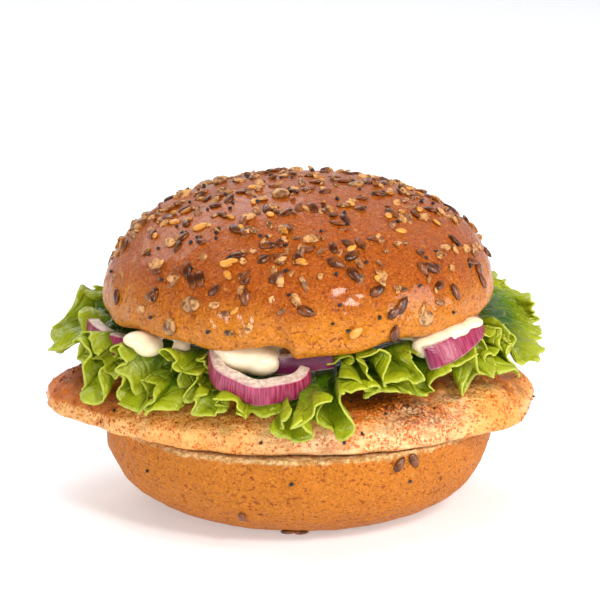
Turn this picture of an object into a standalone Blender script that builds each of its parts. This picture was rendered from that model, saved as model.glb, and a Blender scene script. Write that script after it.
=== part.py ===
"""A grilled chicken burger in a seeded wholegrain bun, as a stack of closed solids.

From the bottom up: the bun's heel, a chicken breast fillet, a bed of frilly lettuce leaves,
red onion arcs, a spread of white sauce and the bun's crown. Sizes in the constants are in
millimetres, and each finished solid is in metres. +X is the burger's long way, along the
fillet; -Y is its front; +Z is up, and the heel's flat base lies at Z = 0.
"""

import math

import bmesh
import bpy
import numpy as np

MM = 0.001
GAP = 0.3                    # clearance between two pieces that touch
RING_POINTS = 48             # round the bun, the fillet and the sauce

# Heel: the lower half of the bun
HEEL_HEIGHT = 28.3
HEEL_RADIUS = 56.2           # at the cut
HEEL_BASE_RADIUS = 30.0      # of the flat spot that it stands on
HEEL_ROUNDNESS = 2.9         # a larger power fills the lower corner out

# Crown: the upper half of the bun
CROWN_RIM_Z = 60.4           # its cut underside
CROWN_RIM_RADIUS = 52.0
CROWN_RADIUS = 56.9          # where it is widest
CROWN_WIDEST_Z = 64.3
CROWN_DOME_HEIGHT = 31.6     # from the widest place to the top
CROWN_DOME_POWER = 2.12
CROWN_TILT = math.radians(1.2)

# Chicken fillet
FILLET_Z = HEEL_HEIGHT + GAP
FILLET_THICKNESS = 15.6
FILLET_LEFT, FILLET_RIGHT = 75.5, 69.0
FILLET_FRONT, FILLET_BACK = 54.6, 50.0
FILLET_EDGE_LIFT = 3.2       # the underside's rounded edge
# each bay or swell of the outline: degrees round it, half width in degrees, depth
FILLET_BAYS = ((200, 10, -4.0), (215, 20, -4.0), (312, 14, -1.8), (337, 10, 1.8), (150, 16, -3.5), (62, 20, 2.0))

# Layers above the fillet
BED_TOP_Z = 50.4             # the leaves' top, where the onion lies on them
ONION_Z = 51.0
SAUCE_TOP_Z = CROWN_RIM_Z - 1.6
SAUCE_BOTTOM_Z = 57.4

COLOURS = {
    "bun": ((0.62, 0.27, 0.07), 0.45),
    "chicken": ((0.83, 0.55, 0.25), 0.5),
    "lettuce": ((0.36, 0.50, 0.05), 0.4),
    "onion": ((0.42, 0.05, 0.15), 0.3),
    "sauce": ((0.93, 0.83, 0.66), 0.2),
}


def clear_scene():
    for item in list(bpy.data.objects):
        bpy.data.objects.remove(item, do_unlink=True)


def material(name):
    """One plain Principled material for each food, made once."""
    found = bpy.data.materials.get(name)
    if found:
        return found
    made = bpy.data.materials.new(name)
    made.use_nodes = True
    shader = made.node_tree.nodes["Principled BSDF"]
    colour, roughness = COLOURS[name]
    shader.inputs["Base Color"].default_value = (*colour, 1.0)
    shader.inputs["Roughness"].default_value = roughness
    shader.inputs["Metallic"].default_value = 0.0
    return made


def loops_to_solid(name, loops, food):
    """A closed solid from a row of closed loops in mm, each with the same number of points.

    A loop of one point is a pole. A first or last loop of more points is closed by one face.
    """
    build = bmesh.new()
    rows = [[build.verts.new([c * MM for c in p]) for p in loop] for loop in loops]
    for low, high in zip(rows, rows[1:]):
        count = max(len(low), len(high))
        for i in range(count):
            j = (i + 1) % count
            corners = [low[i % len(low)], low[j % len(low)], high[j % len(high)], high[i % len(high)]]
            build.faces.new(list(dict.fromkeys(corners)))
    for row in (rows[0], rows[-1]):
        if len(row) > 1:
            build.faces.new(row)
    bmesh.ops.recalc_face_normals(build, faces=build.faces)
    bmesh.ops.triangulate(build, faces=[f for f in build.faces if len(f.verts) > 4])
    mesh = bpy.data.meshes.new(name)
    build.to_mesh(mesh)
    build.free()
    mesh.shade_smooth()
    mesh.set_sharp_from_angle(angle=math.radians(40))
    mesh.materials.append(material(food))
    solid = bpy.data.objects.new(name, mesh)
    bpy.context.scene.collection.objects.link(solid)
    return solid


def wobble(angle, seed, *waves):
    """A slow uneven wave round a circle, as (number of waves, height) pairs with mixed phases."""
    return sum(h * math.sin(n * angle + 1.7 * seed + 2.3 * i) for i, (n, h) in enumerate(waves))


def smooth(value):
    """0 below 0, 1 above 1, and a smooth step between."""
    t = min(1.0, max(0.0, value))
    return t * t * (3 - 2 * t)


def bump(angle, centre, width):
    """A bell of height 1 at centre, angles in degrees, measured the short way round."""
    away = (angle - centre + 180) % 360 - 180
    return math.exp(-((away / width) ** 2))


def ring(radius_at, z_at):
    """A loop round the Z axis; radius_at and z_at take the angle in radians."""
    return [
        (radius_at(a) * math.cos(a), radius_at(a) * math.sin(a), z_at(a))
        for a in (2 * math.pi * i / RING_POINTS for i in range(RING_POINTS))
    ]


# Bun ---------------------------------------------------------------------------------------

def heel_radius(share):
    """The heel's radius at a share of its height, full above a rounded lower corner."""
    fullness = (1 - (1 - share) ** HEEL_ROUNDNESS) ** (1 / 1.6)
    return HEEL_BASE_RADIUS + (HEEL_RADIUS - HEEL_BASE_RADIUS) * fullness


def make_heel():
    loops = [[(0, 0, 0)]]
    for share in (0, 0.05, 0.12, 0.22, 0.36, 0.54, 0.76, 0.93, 1.0):
        pull_in = 0.8 * smooth((share - 0.9) / 0.1)
        loops.append(
            ring(
                lambda a: heel_radius(share) * (1 + share * wobble(a, 1, (2, 0.006), (5, 0.004))) - pull_in,
                lambda a: HEEL_HEIGHT * share,
            )
        )
    loops.append(ring(lambda a: HEEL_RADIUS * 0.55, lambda a: HEEL_HEIGHT))
    loops.append([(0, 0, HEEL_HEIGHT)])
    return loops_to_solid("bun_heel", loops, "bun")


def crown_loops():
    """The crown upright, from the middle of its cut underside over the rim to its top."""
    yield [(0, 0, CROWN_RIM_Z)]
    yield ring(lambda a: CROWN_RIM_RADIUS * 0.6, lambda a: CROWN_RIM_Z)
    yield ring(lambda a: CROWN_RIM_RADIUS + wobble(a, 2, (3, 0.7), (7, 0.5)), lambda a: CROWN_RIM_Z)
    turn = 4
    for i in range(1, turn + 1):
        corner = math.pi / 2 * i / turn
        yield ring(
            lambda a: CROWN_RIM_RADIUS
            + (CROWN_RADIUS - CROWN_RIM_RADIUS) * math.sin(corner)
            + wobble(a, 2, (3, 0.7), (7, 0.5)) * math.cos(corner)
            + wobble(a, 3, (2, 0.4), (5, 0.4)) * math.sin(corner),
            lambda a: CROWN_WIDEST_Z - (CROWN_WIDEST_Z - CROWN_RIM_Z) * math.cos(corner),
        )
    steps = 12
    for i in range(1, steps):
        share = math.sin(math.pi / 2 * i / steps)
        radius = CROWN_RADIUS * (1 - share**CROWN_DOME_POWER) ** (1 / CROWN_DOME_POWER)
        yield ring(
            lambda a: radius + wobble(a, 3, (2, 0.4), (5, 0.4)) * (1 - share),
            lambda a: CROWN_WIDEST_Z + CROWN_DOME_HEIGHT * share,
        )
    yield [(0, 0, CROWN_WIDEST_Z + CROWN_DOME_HEIGHT)]


def tilted_crown(point):
    """The crown sits a little lower on the burger's left."""
    x, y, z = point
    rise = z - CROWN_RIM_Z
    c, s = math.cos(CROWN_TILT), math.sin(CROWN_TILT)
    return (c * x - s * rise, y, CROWN_RIM_Z + s * x + c * rise)


def make_crown():
    loops = [[tilted_crown(p) for p in loop] for loop in crown_loops()]
    return loops_to_solid("bun_crown", loops, "bun")


# Chicken fillet ----------------------------------------------------------------------------

def fillet_reach(angle):
    """The fillet's outline: four quarters of ellipses, drawn in towards the thin left end."""
    c, s = math.cos(angle), math.sin(angle)
    half_x = FILLET_RIGHT if c > 0 else FILLET_LEFT
    half_y = FILLET_BACK if s > 0 else FILLET_FRONT
    bays = sum(depth * bump(math.degrees(angle), at, width) for at, width, depth in FILLET_BAYS)
    return math.hypot(c / half_x, s / half_y) ** -1 + bays + wobble(angle, 4, (7, 0.4), (11, 0.3))


def fillet_top(share, angle):
    """Height of the fillet's top at a share of the way from its middle to its outline."""
    power = 2.2 + 1.9 * max(0.0, math.cos(angle))
    bulge = max(0.0, 1 - share**power) ** 0.5
    uneven = wobble(angle, 5, (2, 0.5), (3, 0.4)) * share * bulge
    return FILLET_Z + FILLET_EDGE_LIFT + (FILLET_THICKNESS - FILLET_EDGE_LIFT) * bulge + uneven


def fillet_top_at(x, y):
    angle = math.atan2(y, x)
    return fillet_top(min(1.0, math.hypot(x, y) / fillet_reach(angle)), angle)


def make_fillet():
    def at(share, z_at):
        return ring(lambda a: fillet_reach(a) * share, z_at)

    loops = [[(0, 0, FILLET_Z)]]
    for share in (0.5, 0.78, 0.9, 0.97):
        lift = FILLET_EDGE_LIFT * smooth((share - 0.76) / 0.26) ** 1.5
        loops.append(at(share, lambda a: FILLET_Z + lift))
    for share in (1.0, 0.985, 0.95, 0.88, 0.78, 0.62, 0.4, 0.2):
        loops.append(at(share, lambda a: fillet_top(share, a)))
    loops.append([(0, 0, fillet_top(0, 0))])
    return loops_to_solid("chicken_fillet", loops, "chicken")


# Lettuce -----------------------------------------------------------------------------------

LEAF_INNER_RADIUS = 8.0
LEAF_THICKNESS = 2.2         # the frilled margin, which is folded on itself


def leaf_bed(x, y):
    """The height that a leaf's underside lies at: on the fillet, and hanging beyond it."""
    over = math.hypot(x, y) / fillet_reach(math.atan2(y, x))
    return fillet_top_at(x, y) + 0.9 + 1.6 * smooth((over - 0.8) / 0.2)


def make_leaf(name, start, end, reach, frills, frill_height, lifts):
    """One leaf, its flat part fanning out from the middle and its margin in upright frills.

    start and end are degrees round the burger, reach is the leaf's greatest radius, frills the
    number of its folds, and lifts how far the margin rises above the bed at its start and end.
    """
    steps_along, steps_out = 5 * frills, 6
    loops = []
    for i in range(steps_along + 1):
        share = i / steps_along
        angle = math.radians(start + (end - start) * share)
        turns = 2 * math.pi * (frills * share + 0.12 * math.sin(5.0 * share + reach))
        fold = math.sin(turns)
        height = frill_height * (0.85 + 0.15 * math.sin(9.0 * share + start))
        lift = lifts[0] + (lifts[1] - lifts[0]) * smooth(share)
        rounded = 0.80 + 0.20 * math.sin(math.pi * share) ** 0.5
        outline = reach * rounded + 1.5 * math.sin(turns + 1)
        under, over = [], []
        for j in range(steps_out + 1):
            out = j / steps_out
            radius = LEAF_INNER_RADIUS + (outline - LEAF_INNER_RADIUS) * out**0.8
            x, y = radius * math.cos(angle), radius * math.sin(angle)
            margin = smooth((radius - 46) / 16)
            low = leaf_bed(x, y) + margin * (height * (1 + fold) / 2 + lift)
            flat_top = max(BED_TOP_Z - 0.6 * abs(fold), low + LEAF_THICKNESS)
            high = flat_top * (1 - margin) + (low + LEAF_THICKNESS) * margin
            under.append((x, y, low))
            over.append((x, y, high))
        loops.append(under + over[::-1])
    return loops_to_solid(name, loops, "lettuce")


def make_lettuce():
    make_leaf("lettuce_left", 177, 240, 75, 6, 8.0, lifts=(-2.0, 4.0))
    make_leaf("lettuce_front", 242.5, 271.5, 64, 3, 2.0, lifts=(2.5, 2.5))
    make_leaf("lettuce_front_right", 274, 334, 66, 6, 8.0, lifts=(12.0, 0.0))
    make_leaf("lettuce_right", 336.5, 396, 75, 5, 9.0, lifts=(2.0, 9.0))
    make_leaf("lettuce_back_right", 38.5, 104, 66, 6, 9.0, lifts=(10.0, 8.0))
    make_leaf("lettuce_back_left", 106.5, 171.5, 71, 6, 9.0, lifts=(7.0, 6.0))


# Onion -------------------------------------------------------------------------------------

ONION_WALL = 3.6


def onion_section(centre, outward, upward, height):
    """The cut across one onion layer: a flat inner side, rounded outer skin, cut top and base."""
    corners = []
    for out, up in ((-1, 0), (-1, 1), (0.62, 1), (0.95, 0.72), (1, 0.5), (0.95, 0.28), (0.62, 0)):
        shift = outward * (out * ONION_WALL / 2) + upward * (up * height)
        corners.append(tuple(centre + shift))
    return corners


def make_onion_arc(name, centre, radius, start, end, base_at, height):
    """A flat arc of one onion layer; base_at gives the height of its base at an angle's share."""
    steps = 16
    loops = []
    for i in range(steps + 1):
        share = i / steps
        angle = math.radians(start + (end - start) * share)
        outward = np.array((math.cos(angle), math.sin(angle), 0.0))
        middle = np.array((*centre, base_at(share))) + outward * (radius - ONION_WALL / 2)
        loops.append(onion_section(middle, outward, np.array((0.0, 0.0, 1.0)), height))
    return loops_to_solid(name, loops, "onion")


def make_draped_onion(name, centre, radius, start, end, tilt, height):
    """An open ring whose front hangs down over the lettuce while its back lies flat.

    centre is the middle of the ring's top, and tilt is the angle that its front hangs at.
    """
    steps = 26
    loops = []
    for i in range(steps + 1):
        angle = math.radians(start + (end - start) * i / steps)
        droop = tilt * smooth((radius * 0.25 - radius * math.sin(angle)) / (radius * 0.5))
        across = np.array((1.0, 0.0, 0.0))
        backward = np.array((0.0, math.cos(droop), math.sin(droop)))
        upward = np.array((0.0, -math.sin(droop), math.cos(droop)))
        outward = across * math.cos(angle) + backward * math.sin(angle)
        middle = np.array(centre) + outward * (radius - ONION_WALL / 2) - upward * height
        loops.append(onion_section(middle, outward, upward, height))
    return loops_to_solid(name, loops, "onion")


def make_onions():
    make_draped_onion("onion_front", (-11.6, -47.6, 58.2), 14.4, 165, 328, math.radians(27), 7.0)
    make_onion_arc("onion_middle", (1.5, -32.0), 17.0, 246, 306, lambda share: ONION_Z, 6.0)
    make_onion_arc("onion_right", (30.0, -22.0), 23.7, 288, 352, lambda s: ONION_Z + 1.4 * s, 6.2)
    make_onion_arc("onion_left", (-38.5, 0.0), 25.5, 166, 258, lambda share: ONION_Z, 5.8)


# Sauce -------------------------------------------------------------------------------------

SAUCE_RADIUS = 36.0
# each lobe: degrees round the burger, reach beyond SAUCE_RADIUS, half width in degrees, droop
SAUCE_LOBES = (
    (222, 23.0, 7.0, 0.6),
    (254, 24.0, 7.2, 4.6),
    (317, 21.0, 9.0, 0.0),
    (20, 13.0, 9.0, 0.5),
    (95, 15.0, 10.0, 1.0),
    (150, 14.0, 8.0, 0.5),
)


def sauce_reach(degrees):
    return SAUCE_RADIUS + sum(more * bump(degrees, at, width) for at, more, width, _ in SAUCE_LOBES)


def sauce_under(share, degrees):
    """The spread's underside: a pool in the middle, and a droop in each lobe."""
    pool = (SAUCE_BOTTOM_Z - BED_TOP_Z - 0.9) * (1 - smooth((share * sauce_reach(degrees) - 24) / 10))
    lobes = sum(
        droop * bump(degrees, at, width * 0.9) * smooth((share - 0.72) / 0.16)
        for at, _, width, droop in SAUCE_LOBES
    )
    return SAUCE_BOTTOM_Z - pool - lobes


def make_sauce():
    def at(share, z_at):
        return ring(
            lambda a: sauce_reach(math.degrees(a)) * share,
            lambda a: z_at(math.degrees(a)),
        )

    loops = [[(0, 0, sauce_under(0, 0))]]
    for share in (0.5, 0.7, 0.84, 0.95):
        loops.append(at(share, lambda d: sauce_under(share, d)))
    loops.append(at(1.0, lambda d: (sauce_under(1, d) + SAUCE_TOP_Z) / 2))
    loops.append(at(0.95, lambda d: SAUCE_TOP_Z))
    loops.append([(0, 0, SAUCE_TOP_Z)])
    return loops_to_solid("sauce", loops, "sauce")


# The whole burger --------------------------------------------------------------------------

def centre_footprint():
    """Moves every solid sideways so that the burger's bounding box is centred on the Z axis."""
    solids = [item for item in bpy.context.scene.objects if item.type == "MESH"]
    points = np.array([v.co for item in solids for v in item.data.vertices])
    middle = (points.min(axis=0) + points.max(axis=0)) / 2
    for item in solids:
        for vertex in item.data.vertices:
            vertex.co.x -= middle[0]
            vertex.co.y -= middle[1]


def main():
    clear_scene()
    make_heel()
    make_fillet()
    make_lettuce()
    make_onions()
    make_sauce()
    make_crown()
    centre_footprint()


main()
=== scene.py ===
# %% [markdown]
# # A chicken burger in a seeded wholegrain bun
# The CAD model fixes where every layer lies and how big it is. This lesson gives those layers the
# look of real food: a glossy seeded crown, a plain heel, a grilled fillet, ruffled lettuce, red onion
# and a thick white sauce. The CAD solids are hidden one by one as their finished pieces are made.

# %% Load the frame
import math

import bmesh
import bpy
from mathutils import Matrix, Vector, noise
from mathutils.bvhtree import BVHTree


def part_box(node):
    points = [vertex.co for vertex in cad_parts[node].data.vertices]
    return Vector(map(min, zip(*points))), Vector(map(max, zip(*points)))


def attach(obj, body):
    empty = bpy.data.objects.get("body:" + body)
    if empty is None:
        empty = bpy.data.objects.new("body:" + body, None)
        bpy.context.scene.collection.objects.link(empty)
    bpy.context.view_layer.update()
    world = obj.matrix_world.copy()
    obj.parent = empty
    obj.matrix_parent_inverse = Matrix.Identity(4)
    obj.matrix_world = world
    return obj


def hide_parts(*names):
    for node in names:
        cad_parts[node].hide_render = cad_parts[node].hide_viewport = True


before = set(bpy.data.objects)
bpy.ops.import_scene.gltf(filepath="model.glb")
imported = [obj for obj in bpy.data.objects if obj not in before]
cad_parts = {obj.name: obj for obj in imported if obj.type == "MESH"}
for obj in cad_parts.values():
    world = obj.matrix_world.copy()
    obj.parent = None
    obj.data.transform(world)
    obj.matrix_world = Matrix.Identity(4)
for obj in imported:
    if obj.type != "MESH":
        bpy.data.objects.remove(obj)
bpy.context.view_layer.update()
MM = 0.001
HEEL_LOW, HEEL_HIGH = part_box("bun_heel")
CROWN_LOW, CROWN_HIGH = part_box("bun_crown")
FILLET_LOW, FILLET_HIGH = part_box("chicken_fillet")
AXIS_X = (HEEL_LOW.x + HEEL_HIGH.x) / 2
AXIS_Y = (HEEL_LOW.y + HEEL_HIGH.y) / 2

# %% [markdown]
# ## Camera
# A burger is usually shown from a little above the table with a long lens, so the layers stay
# nearly parallel. The camera aims at the gap between the fillings and the crown.

# %% Camera
CAMERA_HEIGHT_DEG = 15
CAMERA_DISTANCE = 1100 * MM
CAMERA_LENS = 223.7
aim = Vector((AXIS_X + 0.34 * MM, AXIS_Y, 60.36 * MM))
rise = math.radians(CAMERA_HEIGHT_DEG)
camera = bpy.data.objects.new("camera", bpy.data.cameras.new("camera"))
camera.data.lens = CAMERA_LENS
camera.data.sensor_width = 36
camera.data.clip_start = 0.01
camera.location = aim + CAMERA_DISTANCE * Vector((0, -math.cos(rise), math.sin(rise)))
camera.rotation_euler = (math.pi / 2 - rise, 0, 0)
bpy.context.collection.objects.link(camera)
bpy.context.scene.camera = camera
bpy.context.scene.view_settings.view_transform = "Standard"
print("camera", [round(value, 3) for value in camera.location])

# %% [markdown]
# ## Helpers for shapes
# Food has few straight lines, so most pieces are grids of points that a formula bends. These
# helpers measure in millimetres from the bun's axis and the table, and turn a grid into a mesh.

# %% Helpers for shapes
def place(x, y, z):
    """A point in millimetres from the bun's axis and the table, in metres in the frame."""
    return Vector((AXIS_X + x * MM, AXIS_Y + y * MM, z * MM))


def smooth(value):
    value = min(1.0, max(0.0, value))
    return value * value * (3 - 2 * value)


def bump(angle, centre, width):
    """A soft hill of height 1 round an edge, with its centre and width in degrees."""
    away = (math.degrees(angle) - centre + 180) % 360 - 180
    return math.exp(-((away / width) ** 2))


def uneven(point, size, seed=0):
    """Smooth noise from -1 to 1 whose lumps are about size millimetres wide."""
    return noise.noise(Vector(point) / (size * MM) + Vector((seed * 17.3, seed * 5.1, seed * 9.7)))


def grid_faces(rows, columns, closed=False):
    faces = []
    for row in range(rows - 1):
        for column in range(columns if closed else columns - 1):
            after = (column + 1) % columns
            a, b = row * columns, (row + 1) * columns
            faces.append((a + column, a + after, b + after, b + column))
    return faces


def new_piece(name, points, faces, finish):
    mesh = bpy.data.meshes.new(name)
    mesh.from_pydata([tuple(point) for point in points], [], faces)
    mesh.materials.append(finish)
    mesh.shade_smooth()
    piece = bpy.data.objects.new(name, mesh)
    bpy.context.collection.objects.link(piece)
    return piece


def paint(piece, name, values):
    """Stores one number for each point, which the finish reads by name."""
    layer = piece.data.attributes.new(name, "FLOAT", "POINT")
    layer.data.foreach_set("value", values)


def turn_outwards(piece):
    shape = bmesh.new()
    shape.from_mesh(piece.data)
    bmesh.ops.recalc_face_normals(shape, faces=shape.faces)
    shape.to_mesh(piece.data)
    shape.free()


def settle(piece, slot, *nodes):
    """Fixes a finished piece to the burger and hides the CAD nodes that it stands for."""
    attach(piece, "root")
    if nodes:
        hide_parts(*nodes)
    print(piece.name, len(piece.data.polygons), "faces")
    return piece


# %% [markdown]
# ## Helpers for finishes
# A finish is a small tree of nodes. One function adds any node, with its settings and with what
# fills its sockets, and another turns the hex colours of a paint chart into linear light.

# %% Helpers for finishes
def linear(hex_colour):
    parts = [int(hex_colour[i : i + 2], 16) / 255 for i in (0, 2, 4)]
    return tuple(c / 12.92 if c <= 0.04045 else ((c + 0.055) / 1.055) ** 2.4 for c in parts) + (1.0,)


MIX = "ShaderNodeMix"
MATH = "ShaderNodeMath"
RANGE = "ShaderNodeMapRange"
NOISE = "ShaderNodeTexNoise"
EASED = {"interpolation_type": "SMOOTHSTEP"}


def add(tree, kind, sockets=None, **settings):
    """Adds one node. Each socket is given a value, another node or one of its outputs."""
    made = tree.nodes.new(kind)
    for name, value in settings.items():
        setattr(made, name, value)
    for socket, value in (sockets or {}).items():
        if isinstance(value, bpy.types.Node):
            value = next(output for output in value.outputs if output.enabled)
        if isinstance(value, bpy.types.NodeSocket):
            tree.links.new(value, made.inputs[socket])
        else:
            made.inputs[socket].default_value = value
    return made


def graining(where, size_mm, detail=3.0, rough=0.55):
    """What a noise is given for its grains to come out about size_mm wide."""
    return {"Vector": where, "Scale": 1 / (size_mm * MM), "Detail": detail, "Roughness": rough}


def new_finish(name):
    finish = bpy.data.materials.new(name)
    finish.use_nodes = True
    finish.node_tree.nodes.clear()
    return finish, finish.node_tree


def coated(tree, colour, roughness, height, depth_mm, **look):
    """Ends a finish: the shader with its colour, gloss and raised detail, and any other look."""
    raised = add(tree, "ShaderNodeBump", {"Height": height, "Distance": depth_mm * MM, "Strength": 1.0})
    sockets = {"Base Color": colour, "Roughness": roughness, "Normal": raised.outputs[0]}
    for name, value in look.items():
        sockets[name.replace("_", " ")] = value
    shader = add(tree, "ShaderNodeBsdfPrincipled", sockets)
    add(tree, "ShaderNodeOutputMaterial", {"Surface": shader.outputs[0]})


# %% [markdown]
# ## The crust
# The bun is wholegrain bread brushed before baking, so its top is a thin, glossy, reddish brown
# skin full of bran flecks and fine pores, paler towards the rim where the tin kept it from the
# heat. Where it was cut it is soft, pale crumb. The crown and the heel use one recipe, with less
# gloss and less browning on the heel. The baking is painted on the points as a number.

# %% The crust
def crust_finish(name, pale, brown, gloss, coat):
    """Baked wholegrain crust: pale where it is less baked, with bran flecks and a coat."""
    finish, tree = new_finish(name)
    where = add(tree, "ShaderNodeTexCoord").outputs["Object"]
    grain = add(tree, NOISE, graining(where, 9, 4))
    blotch = add(tree, MATH, {0: grain, 1: 0.5}, operation="SUBTRACT")
    mask = add(tree, "ShaderNodeAttribute", attribute_name="baked").outputs["Fac"]
    part = add(tree, MATH, {0: blotch, 1: 1.0}, operation="MULTIPLY")
    baked = add(tree, MATH, {0: mask, 1: part}, operation="ADD")
    share = add(tree, RANGE, {0: baked, 1: 0.0, 2: 1.0}, **EASED)
    colour = add(tree, MIX, {0: share, 6: linear(pale), 7: linear(brown)}, data_type="RGBA")
    meal = add(tree, NOISE, graining(where, 0.8, 3.0, 0.7))
    share = add(tree, RANGE, {0: meal, 1: 0.5, 2: 0.68, 4: 0.38}, **EASED)
    colour = add(tree, MIX, {0: share, 6: colour, 7: linear("7c3206")}, data_type="RGBA")
    share = add(tree, RANGE, {0: meal, 1: 0.48, 2: 0.32, 4: 0.3}, **EASED)
    colour = add(tree, MIX, {0: share, 6: colour, 7: linear("e89a3c")}, data_type="RGBA")
    stretched = add(tree, "ShaderNodeMapping", {"Vector": where, "Scale": (1, 1, 1.3)})
    grain = add(tree, NOISE, graining(stretched, 1.5, 1.5, 0.5))
    bran = add(tree, RANGE, {0: grain, 1: 0.62, 2: 0.67}, **EASED)
    part = add(tree, MATH, {0: bran, 1: 0.7}, operation="MULTIPLY")
    colour = add(tree, MIX, {0: part, 6: colour, 7: linear("7c2e0c")}, data_type="RGBA")
    stretched = add(tree, "ShaderNodeMapping", {"Vector": where, "Scale": (1.2, 1, 1)})
    grain = add(tree, NOISE, graining(stretched, 2.6, 1.5, 0.5))
    husk = add(tree, RANGE, {0: grain, 1: 0.7, 2: 0.74}, **EASED)
    part = add(tree, MATH, {0: husk, 1: 0.6}, operation="MULTIPLY")
    colour = add(tree, MIX, {0: part, 6: colour, 7: linear("cc8c48")}, data_type="RGBA")
    crumb = add(tree, "ShaderNodeAttribute", attribute_name="crumb").outputs["Fac"]
    grain = add(tree, NOISE, graining(where, 1.6))
    share = add(tree, RANGE, {0: grain, 1: 0.35, 2: 0.65}, **EASED)
    soft_inside = add(tree, MIX, {0: share, 6: linear("ecc48c"), 7: linear("c08a4c")}, data_type="RGBA")
    colour = add(tree, MIX, {0: crumb, 6: colour, 7: soft_inside}, data_type="RGBA")
    pores = add(tree, NOISE, graining(where, 1.3, 3.0, 0.7))
    wrinkles = add(tree, NOISE, graining(where, 4.5, 3.0, 0.6))
    grain = add(tree, NOISE, graining(where, 0.9, 1.0, 0.5))
    pits = add(tree, RANGE, {0: grain, 1: 0.34, 2: 0.44}, **EASED)
    part = add(tree, MATH, {0: pores, 1: 0.9}, operation="MULTIPLY")
    height = add(tree, MATH, {0: part, 1: wrinkles}, operation="ADD")
    part = add(tree, MATH, {0: pits, 1: 0.22}, operation="MULTIPLY")
    height = add(tree, MATH, {0: height, 1: part}, operation="ADD")
    grain = add(tree, NOISE, graining(where, 1.3))
    shine = add(tree, RANGE, {0: grain, 1: 0.35, 2: 0.7, 3: gloss - 0.1, 4: gloss + 0.16}, **EASED)
    part = add(tree, MATH, {0: crumb, 1: 0.4}, operation="MULTIPLY")
    shine = add(tree, MATH, {0: shine, 1: part}, operation="ADD")
    coated(tree, colour, shine, height, 1.3, Coat_Weight=coat, Coat_Roughness=0.12, Specular_IOR_Level=0.25)
    return finish


CROWN_CRUST = crust_finish("glazed wholegrain crust", "d07c10", "a44c02", 0.34, 0.32)
HEEL_CRUST = crust_finish("plain wholegrain crust", "c8761e", "a85c10", 0.58, 0.0)

# %% [markdown]
# ## The crown and the heel
# Both halves of the bun are turned shapes: a profile spun round an axis. Geometry this simple
# could be a Spin, but real dough is uneven, so each point of the turned grid is moved a little
# by noise, by soft wrinkles that run up from the rim, and by the lip where the dough sank.

# %% Turned dough
def turned_dough(name, profile, unevenness, finish, columns=384):
    """Spins a profile of (radius, height) pairs in mm, from one pole to the other."""
    points = [place(0, 0, profile[0][1])]
    rings = profile[1:-1]
    for radius, height in rings:
        for column in range(columns):
            angle = 2 * math.pi * column / columns
            points.append(unevenness(angle, radius, height))
    points.append(place(0, 0, profile[-1][1]))
    faces = [tuple(1 + corner for corner in face) for face in grid_faces(len(rings), columns, True)]
    last = len(points) - 1
    for column in range(columns):
        after = (column + 1) % columns
        faces.append((0, 1 + after, 1 + column))
        faces.append((last, last - columns + column, last - columns + after))
    piece = new_piece(name, points, faces, finish)
    turn_outwards(piece)
    return piece


def evenly(outline, step_mm):
    """Goes along an outline of (radius, height) pairs in steps of the same length."""
    made = [outline[0]]
    for first, second in zip(outline, outline[1:]):
        length = math.dist(first, second)
        count = max(1, round(length / step_mm))
        for i in range(1, count + 1):
            share = i / count
            made.append(tuple(a + (b - a) * share for a, b in zip(first, second)))
    return made


CROWN_RIM_Z = 60.4
CROWN_WIDEST_Z = 63.8
CROWN_RADIUS = 57.4
CROWN_RIM_RADIUS = 54.8
CROWN_DOME = 32.6
CROWN_POWER = 2.16
CROWN_TILT = Matrix.Rotation(math.radians(-1.2), 4, "Y")


def crown_profile():
    outline = [(0, CROWN_RIM_Z), (CROWN_RIM_RADIUS, CROWN_RIM_Z)]
    for i in range(1, 7):
        turn = math.pi / 2 * i / 6
        out = CROWN_RIM_RADIUS + (CROWN_RADIUS - CROWN_RIM_RADIUS) * math.sin(turn)
        outline.append((out, CROWN_WIDEST_Z - (CROWN_WIDEST_Z - CROWN_RIM_Z) * math.cos(turn)))
    for i in range(1, 90):
        turn = math.pi / 2 * i / 90
        share = math.sin(turn)
        out = CROWN_RADIUS * (1 - share**CROWN_POWER) ** (1 / CROWN_POWER)
        outline.append((out, CROWN_WIDEST_Z + CROWN_DOME * share))
    outline.append((0, CROWN_WIDEST_Z + CROWN_DOME))
    return evenly(outline, 1.1)


def rim_lip(angle):
    """How far the rim hangs down, in mm: a torn lip of dough in front and soft waves all round."""
    degrees = math.degrees(angle) % 360
    lip = 2.3 * smooth((degrees - 266.5) / 2.2) * smooth((296 - degrees) / 24) - 0.9 * bump(angle, 263, 4)
    return lip + 0.5 * math.sin(9 * angle + 1) + 0.35 * math.sin(17 * angle + 4)


def rim_crease(angle, height):
    """The crease that runs up from the lip: a groove with a ridge beside it, fading upwards."""
    lean = 267 - 0.35 * (height - CROWN_RIM_Z)
    fade = 1 - smooth((height - 62) / 15)
    return fade * (0.7 * bump(angle, lean + 2.6, 1.5) - 0.8 * bump(angle, lean, 1.1))


def crown_point(angle, radius, height):
    side = smooth((radius - 38) / 14)
    low = 1 - smooth((height - CROWN_RIM_Z) / 9)
    point = place(radius * math.cos(angle), radius * math.sin(angle), height - rim_lip(angle) * low * side)
    out = Vector((math.cos(angle), math.sin(angle), 0)) * min(1, radius / CROWN_RADIUS)
    rise = max(0, height - CROWN_WIDEST_Z) / CROWN_DOME
    normal = (out + Vector((0, 0, rise * rise * 1.2))).normalized() if height > CROWN_RIM_Z else Vector()
    band = 1 - smooth((height - 64) / 14)
    pleats = noise.noise(Vector((angle * 9, height / 14, 3)))
    creases = -abs(noise.noise(Vector((angle * 16, height / 7, 8))))
    moved = 0.75 * uneven(point, 24, 1) + 0.34 * uneven(point, 8, 2) + 0.22 * uneven(point, 3.0, 3)
    moved += band * (0.3 + 0.5 * pleats + 0.7 * creases) + rim_crease(angle, height)
    return point + normal * moved * MM


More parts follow.
